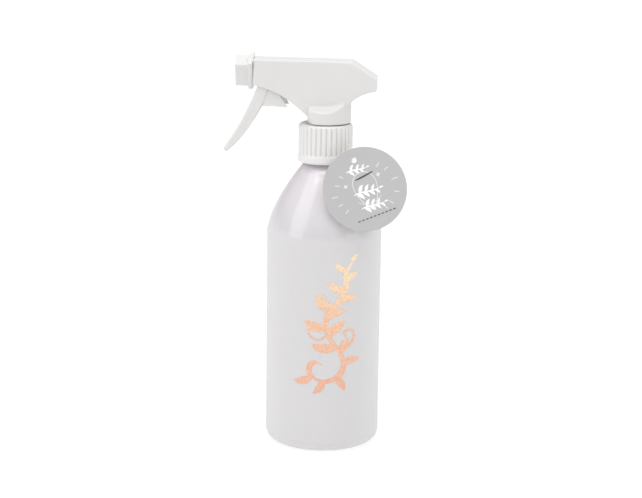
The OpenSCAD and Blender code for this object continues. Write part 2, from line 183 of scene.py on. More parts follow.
def mix(nodes, links, factor, a, b, blend="MIX"):
    """Colour a taken towards b by factor. Each of the three is a socket or a plain value."""
    node = add(nodes, "ShaderNodeMix", data_type="RGBA", blend_type=blend)
    for name, value in (("Factor", factor), ("A", a), ("B", b)):
        if isinstance(value, bpy.types.NodeSocket):
            links.new(value, node.inputs[name])
        else:
            node.inputs[name].default_value = value
    return node.outputs["Result"]


def bump(nodes, links, shader, height, strength, distance, after=None):
    node = add(nodes, "ShaderNodeBump", Strength=strength, Distance=distance)
    links.new(height, node.inputs["Height"])
    if after:
        links.new(after.outputs["Normal"], node.inputs["Normal"])
    links.new(node.outputs["Normal"], shader.inputs["Normal"])
    return node


# ---- materials ------------------------------------------------------------------------

def moulded_plastic(name, colour, low_rough, high_rough, soft=0.12, ripple=0.00004, painted_shade_inside=None):
    """Satin moulded plastic: fine spark-eroded grain, faint flow ripple and handling scuffs.
    Nearer the Z axis than the radius given (mm) it is painted a warmer, darker shade, which stands in for the warm
    shade in the closure's rib grooves and top recess."""
    mat, nodes, links, shader, where = new_material(name)
    cloud = noise(nodes, links, where, 38, 4)
    tint = ramp(nodes, links, cloud, [
        (0.3, tuple(c * 0.985 for c in colour)),
        (0.7, tuple(min(1, c * 1.01) for c in colour)),
    ])
    if painted_shade_inside:
        flat = add(nodes, "ShaderNodeVectorMath", operation="MULTIPLY")
        flat.inputs[1].default_value = (1, 1, 0)
        links.new(where, flat.inputs[0])
        reach = add(nodes, "ShaderNodeVectorMath", operation="LENGTH")
        links.new(flat.outputs["Vector"], reach.inputs[0])
        inner, outer = (painted_shade_inside - 0.7) * MM, painted_shade_inside * MM
        # painted shade: a warmer, darker tint over the rib grooves, the rim and the top recess
        painted_shade = spread(nodes, links, reach.outputs["Value"], 1.0, 0.0, inner, outer)
        tint = mix(nodes, links, painted_shade, tint, (1.0, 0.965, 0.925, 1), "MULTIPLY")
    links.new(tint, shader.inputs["Base Color"])
    scuff = noise(nodes, links, where, 240, 6, 0.7)
    links.new(spread(nodes, links, scuff, low_rough, high_rough), shader.inputs["Roughness"])
    grain = noise(nodes, links, where, 2600, 2)
    flow = noise(nodes, links, where, 60, 2)
    first = bump(nodes, links, shader, grain, 0.35, 0.00002)
    bump(nodes, links, shader, flow, 0.5, ripple, first)
    set_inputs(shader, {
        "IOR": 1.49,
        "Subsurface Weight": soft,
        "Subsurface Radius": (0.004, 0.0038, 0.0036),
        "Subsurface Scale": 0.5,
    })
    return mat


def pearl_plastic():
    """The bottle's glossy pearl white: a faint lilac in the wall, painted shade along its edges and towards the
    neck, slow waves and a clear skin.
    """
    mat, nodes, links, shader, where = new_material("bottle_pearl")
    pearl = noise(nodes, links, where, 900, 3, 0.6)
    body = ramp(nodes, links, pearl, [(0.25, (0.61, 0.597, 0.607)), (0.75, (0.635, 0.621, 0.632))])
    split = nodes.new("ShaderNodeSeparateXYZ")
    links.new(where, split.inputs["Vector"])
    # towards the neck the colour is painted lighter and more lilac, standing in for the coloured shade under the
    # closure
    height = spread(nodes, links, split.outputs["Z"], 0.0, 1.0, SHOULDER_Z * MM, (NECK_Z - 3) * MM)
    body = mix(nodes, links, height, body, (0.675, 0.63, 0.672, 1))
    # seen edge on, the colour is painted darker, a painted shade along the silhouette, and the wall reflects less
    # than a hard skin would
    facing = add(nodes, "ShaderNodeLayerWeight", Blend=0.35).outputs["Facing"]
    side = spread(nodes, links, facing, 0.0, 0.8, 0.3)
    body = mix(nodes, links, side, body, (0.52, 0.49, 0.535, 1))
    links.new(body, shader.inputs["Base Color"])
    for name, square_on, edge_on in (("Coat Weight", 1.0, 0.1), ("Specular IOR Level", 0.5, 0.1)):
        gloss = spread(nodes, links, facing, square_on, edge_on, 0.4, 0.75)
        links.new(gloss, shader.inputs[name])
    smear = noise(nodes, links, where, 55, 5, 0.6)
    links.new(spread(nodes, links, smear, 0.16, 0.28), shader.inputs["Roughness"])
    waves = noise(nodes, links, where, 16, 1)
    skin = noise(nodes, links, where, 1500, 2)
    first = bump(nodes, links, shader, skin, 0.25, 0.000006)
    bump(nodes, links, shader, waves, 0.5, 0.00025, first)
    set_inputs(shader, {
        "IOR": 1.5,
        "Coat IOR": 1.65,
        "Coat Roughness": 0.06,
        "Subsurface Weight": 0.15,
        "Subsurface Radius": (0.005, 0.0045, 0.005),
        "Subsurface Scale": 0.5,
    })
    return mat


def card():
    """Board printed grey on its face and plain white behind: fibre, mottle, matt with a low sheen."""
    mat, nodes, links, shader, where = new_material("tag_card")
    fibre = noise(nodes, links, where, 1400, 6, 0.7)
    face = ramp(nodes, links, fibre, [(0.3, (0.447, 0.447, 0.447)), (0.7, (0.487, 0.486, 0.487))])
    back = ramp(nodes, links, fibre, [(0.3, (0.85, 0.845, 0.83)), (0.7, (0.9, 0.895, 0.88))])
    out = tag_frame()[:, 2]
    depth = add(nodes, "ShaderNodeVectorMath", operation="DOT_PRODUCT")
    depth.inputs[1].default_value = tuple(out)
    links.new(where, depth.inputs[0])
    front = add(nodes, "ShaderNodeMath", operation="GREATER_THAN")
    front.inputs[1].default_value = float(TAG_HOLE @ out) * MM
    links.new(depth.outputs["Value"], front.inputs[0])
    tint = mix(nodes, links, front.outputs["Value"], back, face)
    links.new(tint, shader.inputs["Base Color"])
    mottle = noise(nodes, links, where, 180, 4)
    links.new(spread(nodes, links, mottle, 0.5, 0.68), shader.inputs["Roughness"])
    bump(nodes, links, shader, fibre, 0.4, 0.00003)
    return mat


def ink(name, colour):
    """Screen-printed ink that lets a little of the paper's tooth through."""
    mat, nodes, links, shader, where = new_material(name)
    tooth = noise(nodes, links, where, 1800, 5, 0.7)
    tint = ramp(nodes, links, tooth, [(0.3, tuple(c * 0.94 for c in colour)), (0.6, colour)])
    links.new(tint, shader.inputs["Base Color"])
    links.new(spread(nodes, links, tooth, 0.42, 0.58), shader.inputs["Roughness"])
    bump(nodes, links, shader, tooth, 0.3, 0.00002)
    return mat


def foil():
    """Crinkled hot-stamped foil, pale gold at the top and rose at the foot."""
    mat, nodes, links, shader, where = new_material("foil_rose_gold")
    split = nodes.new("ShaderNodeSeparateXYZ")
    links.new(where, split.inputs["Vector"])
    height = spread(nodes, links, split.outputs["Z"], 0.0, 1.0, FOIL_FOOT * MM, FOIL_TOP * MM)
    base = ramp(nodes, links, height, [
        (0.0, (0.86, 0.5, 0.37)), (0.55, (0.92, 0.6, 0.42)), (1.0, (0.98, 0.82, 0.6)),
    ])
    grain = noise(nodes, links, where, 850, 5, 0.75)
    flecks = ramp(nodes, links, grain, [(0.32, (0.72, 0.66, 0.62)), (0.62, (1.0, 1.0, 1.0))])
    links.new(mix(nodes, links, 0.85, base, flecks, "MULTIPLY"), shader.inputs["Base Color"])
    links.new(spread(nodes, links, grain, 0.22, 0.5), shader.inputs["Roughness"])
    bump(nodes, links, shader, grain, 0.8, 0.00012)
    shader.inputs["Metallic"].default_value = 0.75
    return mat


def metal(name, colour, low_rough, high_rough):
    """Drawn spring wire and ball steel with fine die lines."""
    mat, nodes, links, shader, where = new_material(name)
    lines = noise(nodes, links, where, 700, 4, 0.6)
    tint = ramp(nodes, links, lines, [(0.3, tuple(c * 0.85 for c in colour)), (0.7, colour)])
    links.new(tint, shader.inputs["Base Color"])
    links.new(spread(nodes, links, lines, low_rough, high_rough), shader.inputs["Roughness"])
    bump(nodes, links, shader, lines, 0.3, 0.00002)
    shader.inputs["Metallic"].default_value = 1
    return mat


def clear_nylon():
    """Almost clear moulded nylon."""
    mat, nodes, links, shader, where = new_material("loop_nylon")
    haze = noise(nodes, links, where, 500, 3)
    links.new(spread(nodes, links, haze, 0.12, 0.3), shader.inputs["Roughness"])
    set_inputs(shader, {"Base Color": (0.95, 0.95, 0.95, 1), "IOR": 1.2, "Transmission Weight": 0.92})
    bump(nodes, links, shader, haze, 0.2, 0.00003)
    return mat


WHITE_PP = (0.691, 0.683, 0.675)
HEAD = moulded_plastic("head_satin", WHITE_PP, 0.34, 0.46)
# the closure's rib grooves and top recess get a painted warm shade
RIBBED = moulded_plastic("closure_satin", (0.757, 0.751, 0.744), 0.3, 0.42, ripple=0.00001,
                         painted_shade_inside=RIB_R - 0.3)
INNER = moulded_plastic("inner_satin", (0.78, 0.775, 0.765), 0.36, 0.5)
SOFT = moulded_plastic("soft_seal", (0.74, 0.735, 0.72), 0.45, 0.6)
TUBE = moulded_plastic("tube_natural", (0.82, 0.82, 0.81), 0.2, 0.32, soft=0.35)
RUBBER = moulded_plastic("seal_rubber", (0.03, 0.03, 0.03), 0.6, 0.8, soft=0)
PEARL, CARD, FOIL, NYLON = pearl_plastic(), card(), foil(), clear_nylon()
WHITE_INK, FAINT_INK = ink("ink_white", (0.93, 0.93, 0.92)), ink("ink_pale", (0.74, 0.755, 0.75))
DARK_INK = ink("ink_dark", (0.06, 0.065, 0.07))
STEEL = metal("spring_steel", (0.62, 0.61, 0.6), 0.25, 0.42)


# ---- mesh helpers ------------------------------------------------------------------------

def make_piece(name, points, faces, material, body, slot, *replaced, smooth=35):
    """A piece from points in mm, riding on a body and standing for the CAD nodes named."""
    mesh = bpy.data.meshes.new(name)
    mesh.from_pydata((np.asarray(points) * MM).tolist(), [], faces)
    mesh.validate()
    obj = bpy.data.objects.new(name, mesh)
    bpy.context.scene.collection.objects.link(obj)
    mesh.materials.append(material)
    mesh.shade_smooth()
    if smooth < 180:
        mesh.set_sharp_from_angle(angle=math.radians(smooth))
    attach(obj, body)
    if replaced:
        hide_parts(*replaced)
    return obj


def turned(name, profile, steps, radius, *where):
    """A body turned about Z. profile holds (r, z) going round the section; radius(r, z, angle)
    gives the true radius there. A closed ring unless the profile starts and ends on the axis."""
    angles = np.arange(steps) * 2 * math.pi / steps
    points, rings = [], []
    for r, z in profile:
        if r < 1e-6:
            rings.append([len(points)])
            points.append((0, 0, z))
            continue
        rr = radius(r, z, angles)
        rings.append(list(range(len(points), len(points) + steps)))
        points.extend(zip(rr * np.cos(angles), rr * np.sin(angles), np.full(steps, z)))
    faces = []
    pairs = list(zip(rings, rings[1:]))
    if len(rings[0]) > 1:
        pairs.append((rings[-1], rings[0]))
    for a, b in pairs:
        for i in range(steps):
            j = (i + 1) % steps
            if len(a) == 1:
                faces.append((a[0], b[j], b[i]))
            elif len(b) == 1:
                faces.append((a[i], a[j], b[0]))
            else:
                faces.append((a[i], a[j], b[j], b[i]))
    return make_piece(name, points, faces, *where)


def cell_sum(at_edges, axis):
    """Adds up, for every grid cell, the values on its four edges that run along axis."""
    b, c = [k for k in range(3) if k != axis]
    out = at_edges
    for k in (b, c):
        low = [slice(None)] * 3
        high = [slice(None)] * 3
        low[k], high[k] = slice(0, -1), slice(1, None)
        out = out[tuple(low)] + out[tuple(high)]
    return out


def surface(name, field, low, high, step, *where):
    """A closed mesh of the surface where field(x, y, z) is zero; it is negative inside.
    One point goes in each grid cell that the surface crosses, then slides on to the surface."""
    low, high = np.array(low, float), np.array(high, float)
    count = np.ceil((high - low) / step).astype(int) + 1
    grid = [low[k] + step * np.arange(count[k]) for k in range(3)]
    x, y, z = grid[0][:, None, None], grid[1][None, :, None], grid[2][None, None, :]
    value = np.broadcast_to(field(x, y, z), tuple(count)).astype(np.float32)
    inside = value < 0
    total = np.zeros([3] + [n - 1 for n in count], np.float32)
    number = np.zeros([n - 1 for n in count], np.float32)
    crossings = []
    for axis in range(3):
        a = [slice(None)] * 3
        b = [slice(None)] * 3
        a[axis], b[axis] = slice(0, -1), slice(1, None)
        a, b = tuple(a), tuple(b)
        crossed = inside[a] != inside[b]
        crossings.append((crossed, inside[a]))
        gap = np.where(crossed, value[a] - value[b], 1)
        share = np.where(crossed, value[a] / gap, 0)
        number += cell_sum(crossed.astype(np.float32), axis)
        for k in range(3):
            shape = [1, 1, 1]
            shape[k] = -1
            place = grid[k][: crossed.shape[k]].reshape(shape) * crossed
            if k == axis:
                place = place + share * step
            total[k] += cell_sum(place.astype(np.float32), axis)
    used = number > 0
    index = np.full(used.shape, -1)
    index[used] = np.arange(used.sum())
    points = np.stack([t[used] / number[used] for t in total], 1).astype(float)
    faces = []
    for axis, (crossed, first_inside) in enumerate(crossings):
        b, c = (axis + 1) % 3, (axis + 2) % 3
        at = np.argwhere(crossed)
        at = at[(at[:, b] > 0) & (at[:, c] > 0) & (at[:, b] < count[b] - 1) & (at[:, c] < count[c] - 1)]
        corners = []
        for db, dc in ((1, 1), (0, 1), (0, 0), (1, 0)):
            cell = at.copy()
            cell[:, b] -= db
            cell[:, c] -= dc
            corners.append(index[tuple(cell.T)])
        quads = np.stack(corners, 1)
        flip = ~first_inside[tuple(at.T)]
        quads[flip] = quads[flip][:, ::-1]
        faces.extend(quads.tolist())
    nudge = 0.02
    for _ in range(4):
        px, py, pz = points.T
        here = field(px, py, pz)
        slope = np.stack([
            field(px + nudge, py, pz) - field(px - nudge, py, pz),
            field(px, py + nudge, pz) - field(px, py - nudge, pz),
            field(px, py, pz + nudge) - field(px, py, pz - nudge),
        ], 1) / (2 * nudge)
        size = np.maximum((slope ** 2).sum(1), 0.2)
        points -= np.clip(here / size, -step / 2, step / 2)[:, None] * slope
    return make_piece(name, points, faces, *where, smooth=180)


# ---- field helpers: distances in mm, negative inside ----------------------------------------

def meet(a, b, r=0.15):
    """Where a and b overlap, with the edge between them rounded by r."""
    return np.minimum(-r, np.maximum(a, b)) + np.hypot(np.maximum(a + r, 0), np.maximum(b + r, 0))


def join(a, b, r=0.15):
    """a and b together, with a fillet of radius r where they meet."""
    return np.maximum(r, np.minimum(a, b)) - np.hypot(np.maximum(r - a, 0), np.maximum(r - b, 0))


def cut(a, b, r=0.15):
    return meet(a, -b, r)


def block(x, y, z, low, high, r):
    """A box from low to high with rounded edges."""
    parts = [np.maximum(l - v, v - h) for v, l, h in zip((x, y, z), low, high)]
    return meet(meet(parts[0], parts[1], r), parts[2], r)


def rod_x(x, y, z, x0, x1, r, at_z, edge=0.15):
    return meet(np.hypot(y, z - at_z) - r, np.maximum(x0 - x, x - x1), edge)


def curve(p0, p1, p2, p3, n=24):
    """Points on a cubic Bezier curve."""
    t = np.linspace(0, 1, n)[:, None]
    s = 1 - t
    p0, p1, p2, p3 = (np.array(p, float) for p in (p0, p1, p2, p3))
    return s ** 3 * p0 + 3 * s * s * t * p1 + 3 * s * t * t * p2 + t ** 3 * p3


def arc(centre, r, start, end, n):
    a = np.radians(np.linspace(start, end, n))
    return np.stack([centre[0] + r * np.cos(a), centre[1] + r * np.sin(a)], 1)


def eased(points, r):
    """An outline with its sharp corners rounded by r."""
    points = np.array(points, float)
    out = []
    for p, before, after in zip(points, np.roll(points, 1, 0), np.roll(points, -1, 0)):
        a, b = p - before, after - p
        la, lb = np.linalg.norm(a), np.linalg.norm(b)
        a, b = a / la, b / lb
        turn = math.acos(max(-1, min(1, float(a @ b))))
        if turn < math.radians(14):
            out.append(p)
            continue
        back = min(r * math.tan(turn / 2), la / 2.2, lb / 2.2)
        for t in np.linspace(0, 1, 6):
            out.append((1 - t) ** 2 * (p - a * back) + 2 * t * (1 - t) * p + t * t * (p + b * back))
    return np.array(out)


def outline(u, v, points):
    """Distance to a closed outline in the plane, negative inside."""
    best = np.full(np.broadcast(u, v).shape, 1e9)
    sign = np.ones(best.shape)
    for (ax, ay), (bx, by) in zip(points, np.roll(points, -1, 0)):
        ex, ey = bx - ax, by - ay
        wx, wy = u - ax, v - ay
        t = np.clip((wx * ex + wy * ey) / (ex * ex + ey * ey), 0, 1)
        best = np.minimum(best, (wx - ex * t) ** 2 + (wy - ey * t) ** 2)
        up = (ay <= v) & (by > v)
        down = (ay > v) & (by <= v)
        side = ex * wy - ey * wx
        sign = np.where((up & (side > 0)) | (down & (side < 0)), -sign, sign)
    return sign * np.sqrt(best)


# ---- bottle ---------------------------------------------------------------------------------

def bottle_side(t):
    """The outside from the heel to the neck, as (r, z), moved in by t."""
    lean = math.radians(39.6)
    heel = arc((BOTTLE_R - HEEL_R, HEEL_R), HEEL_R - t, -90, 0, 16)
    straight = [(BOTTLE_R - t, z) for z in np.linspace(HEEL_R + 4, SHOULDER_Z - 3, 24)]
    shoulder = curve(
        (BOTTLE_R - t, SHOULDER_Z),
        (BOTTLE_R - t, SHOULDER_Z + 10.2),
        (NECK_R - t + 17.3 * math.sin(lean), NECK_Z - 17.3 * math.cos(lean) - t * 0.6),
        (NECK_R - t, NECK_Z - t * 0.6),
        60,
    )
    return [*heel, *straight, *shoulder]


def ridge(z, angle, start, height):
    """How far a right-hand thread stands out at height z, when it starts at height start."""
    out = np.zeros(len(angle))
    for turn in (0, 1):
        along = angle / (2 * math.pi) + turn
        centre = start + THREAD_PITCH * along
        flank = np.clip((0.75 - abs(z - centre)) / 0.4, 0, 1)
        fade = np.clip(along / 0.12, 0, 1) * np.clip((THREAD_TURNS - along) / 0.12, 0, 1)
        out = np.maximum(out, height * flank * fade)
    return out


def bottle_radius(r, z, angle):
    on_neck = abs(r - NECK_R) < 1e-6 and z > NECK_Z + 1
    # the faint ring that the mould leaves round the cone
    ring = 0.2 * math.exp(-((z - MOULD_RING_Z) / 0.5) ** 2) if r > NECK_R + 1 else 0
    return r + ring + (ridge(z, angle, THREAD_Z, 1.1) if on_neck else 0)


def make_bottle():
    def dome(radii, lift):
        return [(r, PUSHUP + lift - 0.6 * (r / 20.5) ** 2) for r in radii]

    base = [*dome([0, *np.linspace(2, 20.5, 10)], 0), (22.5, 1.9), (23.6, 0.7), (24.3, 0.15), (25.0, 0.0)]
    neck = [(NECK_R, z) for z in np.linspace(NECK_Z + 0.6, NECK_TOP - 0.5, 90)]
    lip = [(NECK_R - 0.15, NECK_TOP - 0.12), (NECK_R - 0.45, NECK_TOP), (NECK_BORE_R + 0.4, NECK_TOP),
           (NECK_BORE_R + 0.1, NECK_TOP - 0.12), (NECK_BORE_R, NECK_TOP - 0.5)]
    inner_neck = [(NECK_BORE_R, z) for z in np.linspace(NECK_TOP - 1, NECK_Z + 1, 8)]
    inside = [p for p in bottle_side(WALL)[::-1] if p[0] > NECK_BORE_R + 0.2]
    floor = [(24.9, 0.9), (24.4, 1.1), (22.8, 2.6), *dome([*np.linspace(20.5, 2, 8), 0], WALL)]
    profile = [*base, *bottle_side(0), *neck, *lip, *inner_neck, *inside, *floor]
    turned("bottle_shell", profile, 192, bottle_radius, PEARL, "bottle", "bottle_plastic", "bottle")


# ---- closure --------------------------------------------------------------------------------

def closure_radius(r, z, angle):
    if r < 14.3:
        if abs(r - CLOSURE_BORE_R) < 1e-6 and z < THREAD_TOP:
            return r - ridge(z, angle, THREAD_Z + THREAD_PITCH / 2, 1.0)
        return np.full(len(angle), r)
    pitch = 2 * math.pi / RIBS
    from_groove = np.abs((angle / pitch) % 1 - 0.5) * pitch * RIB_R
    swell = 0.08 * np.cos(from_groove * 2 * math.pi / (pitch * RIB_R))
    groove = 0.95 * np.exp(-(from_groove / 0.52) ** 2) - swell
    low = np.clip((z - CLOSURE_Z - BAND_H - 0.1) / 0.35, 0, 1)
    high = np.clip((CLOSURE_TOP - 1.1 - z) / 1.1, 0, 1)
    return r - groove * low * math.sqrt(high) * np.clip((r - CLOSURE_BORE_R) / 0.5, 0, 1)


def make_closure():
    top, foot = CLOSURE_TOP, CLOSURE_Z
    band = [(14.35, foot), (BAND_R - 0.5, foot), (BAND_R - 0.12, foot + 0.12), (BAND_R, foot + 0.5),
            (BAND_R - 0.05, foot + 2), (BAND_R - 0.1, foot + BAND_H - 0.75), (BAND_R - 0.25, foot + BAND_H - 0.35)]
    side = [(RIB_R, z) for z in np.linspace(foot + BAND_H, top - EDGE_R - 0.1, 48)]
    shoulder = [tuple(p) for p in arc((RIM_R, top - EDGE_R), EDGE_R, 0, 90, 24)[1:]]
    rim = [(RIM_R - 0.3, top - 0.03), (RIM_R - 0.6, top - 0.1), (RIM_R - 0.9, top - RECESS),
           (11.8, top - RECESS), (11.45, top - 0.25), (11.3, top - 0.5), (11.3, 190.3), (11.45, 190.05)]
    bore = [(CLOSURE_BORE_R, z) for z in np.linspace(THREAD_TOP, foot + 0.5, 70)]
    inside = [(11.8, 190.0), (13.7, 190.0), (CLOSURE_BORE_R, 189.7), *bore, (CLOSURE_BORE_R + 0.1, foot + 0.15)]
    turned("closure_cap", [*band, *side, *shoulder, *rim, *inside], RIBS * 16, closure_radius,
           RIBBED, "closure", "closure_plastic", "closure")


# ---- shroud ---------------------------------------------------------------------------------

SHROUD_OUTLINE = eased([
    *curve((-42.2, 215), (-28, 211.8), (-20, 206.5), (-9.5, 196.4)),
    (-9.5, 195), (9.5, 200.2),
    *curve((10.1, 200.7), (14, 205.6), (19.6, 211.6), (29.7, 212.6), 20),
    (29.6, 220.2), (15.2, 229.4), (-42.2, 230),
], 0.5)
SHROUD_MOUTH = np.array([
    (-41, 207), (-32, 188), (COLUMN_X - 1, 188), (COLUMN_X + 2, 198), (-2, 206), (-30, 226), (-41, 226),
])


def roof(x, y, z, half, eave, fillet):
    """Under a roof that falls 1 in 2 away from a wall of half width half. It meets the wall at
    height eave, and higher towards the back."""
    rise = ROOF_RISE * np.clip(x / COLUMN_R, 0, 1) ** 2
    return join(abs(y) - half, (0.5 * (abs(y) - half) + z - eave - rise) / math.hypot(1, 0.5), fillet)


def shroud_field(x, y, z):
    side = outline(x, z, SHROUD_OUTLINE)
    plate = meet(side, abs(y) - SHROUD_HALF, 0.8)
    # the collar: a cylinder under a roof that falls away from the side walls
    front = meet(COLUMN_X - x, COLUMN_Z - z, 4.5)
    sides = meet(np.hypot(x, y) - COLUMN_R, COLUMN_Z - z, 0.7)
    collar = meet(meet(sides, front, 0.6), roof(x, y, z, SHROUD_HALF - 0.1, ROOF_Z, 1.6), 0.3)
    # higher up the sweep is kept only where it lies against the side wall
    sweep = meet(collar, side, 0.2)
    under = meet(collar, z - COLUMN_TOP, 0.3)
    skin = join(plate, np.minimum(sweep, under), 0.25)
    half = SHROUD_HALF - SHROUD_WALL
    hollow = meet(side + SHROUD_WALL, abs(y) - half, 0.5)
    mouth = meet(outline(x, z, SHROUD_MOUTH), abs(y) - half, 0.5)
    well = meet(np.hypot(x, y) - COLUMN_R + SHROUD_WALL, roof(x, y, z, half, ROOF_Z - 0.4, 0.2), 0.3)
    well = np.maximum(well, np.maximum(z - COLUMN_TOP + 0.4, COLUMN_X + SHROUD_WALL - x))
    notch = block(x, y, z, (COLUMN_X - 6, -half, 188), (COLUMN_X + 6, half, 204), 0.5)
    inside = np.minimum(np.minimum(hollow, mouth), np.minimum(well, notch))
    spout = rod_x(x, y, z, -46, -38, SPOUT_R, SPRAY_Z)
    return cut(skin, np.minimum(inside, spout), 0.2)


def make_shroud():
    low, high = box_mm("shroud")
    surface("shroud_shell", shroud_field, low - 1.1, high + 1.1, 0.4,
            HEAD, "head", "head_plastic", "shroud")


# ---- trigger --------------------------------------------------------------------------------

FRONT_CURVE = curve((-39.6, 214.4), (-45, 202), (-49.6, 191.5), (-59, 178.6), 30)
REAR_CURVE = curve((-57.0, 176.1), (-52.5, 179.3), (-38.5, 194.5), (-33.8, 213), 30)
BLADE_TIP = arc((-58, 177.2), 1.6, 160, 290, 8)
BLADE_OUTLINE = np.array([*REAR_CURVE, (-33.8, 218), (-39.2, 218), *FRONT_CURVE, *BLADE_TIP])
BEHIND_FRONT = np.array([(-20, 165), (-20, 230), (-39.2, 230), (-39.2, 218), *FRONT_CURVE, (-68, 165)])
ARM_OUTLINE = np.array([(-33.4, 212.5), (-31.2, 219.5), *arc((PIVOT_X, PIVOT_Z), 3, 0, 180, 16), (-39.1, 213)])
WEB_OUTLINE = eased([
    (-37.6, 202.6), (-22.1, 202.2), (-24.8, 206.8), (-28.4, 212.6), (-30.4, 217.4), (-35.4, 217.4),
], 0.3)


def trigger_field(x, y, z):
    wide = abs(y)
    front = outline(x, z, BEHIND_FRONT)
    blade = meet(outline(x, z, BLADE_OUTLINE), wide - BLADE_HALF, 0.35)
    blade = meet(blade, meet(front, wide - BLADE_HALF, 1.3), 0.1)
    # the back of the blade is cored out, leaving a front wall and cross ribs
    core = meet(meet(2.3 + front, wide - 6.2, 0.6), np.maximum(181.5 - z, z - 213), 0.6)
    rib = abs((z - 186) % 8 - 4) - 0.45
    blade = cut(blade, cut(core, rib, 0.3), 0.3)
    top = block(x, y, z, (-46, -6.6, 214.6), (-24, 6.6, 232), 0.3)
    blade = cut(blade, top, 0.3)
    arm = meet(meet(outline(x, z, ARM_OUTLINE), wide - 7.4, 0.4), 6.0 - wide, 0.2)
    web = meet(meet(outline(x, z, WEB_OUTLINE), wide - 7.0, 0.12), 6.6 - wide, 0.12)
    heel = meet(meet(outline(x, z, WEB_OUTLINE), wide - 7.0, 0.12), x + 36.4, 0.2)
    stub = meet(np.hypot(x - PIVOT_X, z - PIVOT_Z) - TRUNNION_R, np.maximum(4.15 - wide, wide - 6.5), 0.25)
    bar = meet(np.hypot(x + 33.2, z - PUMP_Z) - 2.0, wide - 6.8, 0.1)
    walls = join(join(blade, arm, 0.3), np.minimum(web, heel), 0.1)
    return join(join(walls, stub, 0.2), bar, 0.2)


def make_trigger():
    low, high = box_mm("trigger")
    surface("trigger_lever", trigger_field, low - 1.1, high + 1.1, 0.35,
            HEAD, "trigger", "head_plastic", "trigger")


# ---- nozzle ---------------------------------------------------------------------------------

def nozzle_field(x, y, z):
    c, s = math.cos(NOZZLE_TURN), math.sin(NOZZLE_TURN)
    v, w = c * y + s * (z - SPRAY_Z), -s * y + c * (z - SPRAY_Z)
    taper = (x - NOZZLE_REAR) * 0.012
    side = meet(abs(v) - NOZZLE_HALF - taper, abs(w) - NOZZLE_HALF - taper, 0.7)
    head = meet(side, np.maximum(NOZZLE_FRONT - x, x - NOZZLE_REAR + 1), 0.5)
    flange = block(x, v, w, (NOZZLE_REAR - 2.8, -8.15, -8.15), (NOZZLE_REAR, 8.15, 8.15), 0.3)
    # the flange is stepped: a thin plate behind a slightly smaller one
    step = meet(abs(x - NOZZLE_REAR + 0.75) - 0.12, 7.95 - np.maximum(abs(v), abs(w)), 0.02)
    shell = cut(join(head, flange, 0.3), step, 0.05)
    for a, b in ((v, w), (w, v)):
        panel = meet(meet(abs(x + 49.2) - 2.2, abs(a) - 4.2, 1.3), NOZZLE_HALF - 0.25 - abs(b), 0.08)
        shell = cut(shell, panel, 0.1)
    dot = np.sqrt((x + 46.3) ** 2 + v ** 2 + (w - NOZZLE_HALF) ** 2) - 0.4
    shell = join(shell, dot, 0.1)
    bore = rod_x(x, y, z, -49.6, -30, SPOUT_R, SPRAY_Z, 0.3)
    dish = rod_x(x, y, z, -60, NOZZLE_FRONT + 1.4, 3.0, SPRAY_Z, 0.3)
    hole = rod_x(x, y, z, -60, -40, 0.45, SPRAY_Z)
    return cut(shell, np.minimum(np.minimum(bore, dish), hole), 0.2)


def make_nozzle():
    low, high = box_mm("nozzle")
    surface("nozzle_cap", nozzle_field, low - 0.6, high + 0.6, 0.22,
            HEAD, "nozzle", "head_plastic", "nozzle")


# ---- swing tag ------------------------------------------------------------------------------

def on_tag(points):
    """Points given from the tag's centre, in its own axes, put where the tag hangs."""
    points = np.asarray(points, float) - np.array([0, TAG_HOLE_OFFSET, 0])
    return points @ tag_frame().T + TAG_HOLE


def make_tag():
    steps, rings = 192, 14
    angle = np.arange(steps) * 2 * math.pi / steps
    loops = []

    def loop(share, height, grow=0.0):
        """A ring between the hole (share 0) and the rim (share 1)."""
        r = TAG_HOLE_R + (TAG_R - TAG_HOLE_R) * share + grow
        cy = TAG_HOLE_OFFSET * (1 - share)
        loops.append(np.stack([r * np.cos(angle), cy + r * np.sin(angle), np.full(steps, height)], 1))

    half, ease = TAG_T / 2, 0.05
    for share in np.linspace(0, 1, rings):
        loop(share, half, ease if share == 0 else -ease if share == 1 else 0)
    loop(1, half - ease)
    loop(1, -half + ease)
    for share in np.linspace(1, 0, rings):
        loop(share, -half, ease if share == 0 else -ease if share == 1 else 0)
    loop(0, -half + ease)
    loop(0, half - ease)
    points = on_tag(np.concatenate(loops))
    faces = []
    for a in range(len(loops)):
        b = (a + 1) % len(loops)
        for i in range(steps):
            j = (i + 1) % steps
            faces.append((a * steps + i, b * steps + i, b * steps + j, a * steps + j))
    make_piece("tag_disc", points, faces, CARD, "tag", "tag_card", "swing_tag", smooth=30)


def ribbon(path, widths, place, height, thick=0.04):
    """Points and faces of a flat closed stroke along path; place turns (u, v, height) into space."""
    path, widths = np.asarray(path, float), np.asarray(widths, float)
    along = np.gradient(path, axis=0)
    along /= np.maximum(np.linalg.norm(along, axis=1), 1e-9)[:, None]
    across = np.stack([-along[:, 1], along[:, 0]], 1) * widths[:, None] / 2
    rows = 5
    sides = [path + across * t for t in np.linspace(1, -1, rows)]
    n = len(path)
    layers = [place(s[:, 0], s[:, 1], h) for h in (height, height - thick) for s in sides]
    points = np.concatenate(layers)
    faces = []

    def grid(first, flip):
        for k in range(rows - 1):
            for i in range(n - 1):
                a, b = (first + k) * n + i, (first + k + 1) * n + i
                quad = (a, b, b + 1, a + 1)
                faces.append(quad[::-1] if flip else quad)

    grid(0, False)
    grid(rows, True)
    for i in range(n - 1):
        top, low = i, rows * n + i
        faces.append((top, top + 1, low + 1, low))
        top, low = (rows - 1) * n + i, (2 * rows - 1) * n + i
        faces.append((low, low + 1, top + 1, top))
    for k in range(rows - 1):
        for end, flip in ((0, True), (n - 1, False)):
            a, b = k * n + end, (k + 1) * n + end
            c, d = (rows + k) * n + end, (rows + k + 1) * n + end
            quad = (a, c, d, b)
            faces.append(quad[::-1] if flip else quad)
    return points, faces


